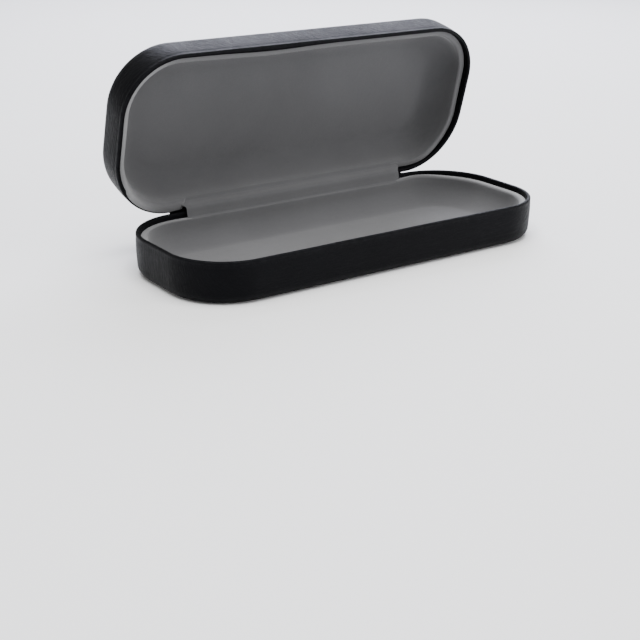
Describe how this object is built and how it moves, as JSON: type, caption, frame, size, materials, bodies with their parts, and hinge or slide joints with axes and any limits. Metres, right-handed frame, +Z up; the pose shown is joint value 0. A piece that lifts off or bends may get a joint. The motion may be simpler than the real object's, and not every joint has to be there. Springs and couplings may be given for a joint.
{
  "type": "eyeglasses case",
  "caption": "Slim hinged clamshell eyeglasses case with rounded corners, a leatherette outside over stamped steel shells and a flocked tray lining, standing open.",
  "frame": {"origin": "middle of the base's flat resting face", "axes": "+X along the case's length, +Y from the front towards the hinge, +Z up; the lid stands open at its stop"},
  "size_m": [0.16, 0.0782, 0.0797],
  "materials": {
    "leatherette": "satin, fine grain",
    "flocking": "short pile flock, matt",
    "shell_steel": "bare cold-rolled sheet",
    "hinge_steel": "zinc plated",
    "spring_steel": "blued",
    "foam": "closed-cell foam, matt"
  },
  "bodies": {
    "base": {"base_cover": "leatherette", "base_shell": "shell_steel", "base_pad": "foam", "base_liner": "flocking", "base_hinge_leaf": "hinge_steel", "base_hinge_rivets": "hinge_steel", "hinge_pin": "hinge_steel", "snap_spring_left": "spring_steel", "snap_spring_right": "spring_steel", "inner_hinge_strip": "flocking", "spine_cover": "leatherette"},
    "lid": {"lid_cover": "leatherette", "lid_shell": "shell_steel", "lid_pad": "foam", "lid_liner": "flocking", "lid_hinge_leaf": "hinge_steel", "lid_hinge_rivets": "hinge_steel"}
  },
  "joints": [
    {"name": "lid_hinge", "type": "hinge", "parent": "base", "child": "lid", "pos_m": [0, 0.03155, 0.01565], "axis": [-1, 0, 0], "range_deg": [-75, 0], "deforming": ["snap_spring_left", "snap_spring_right", "inner_hinge_strip", "spine_cover"]}
  ]
}
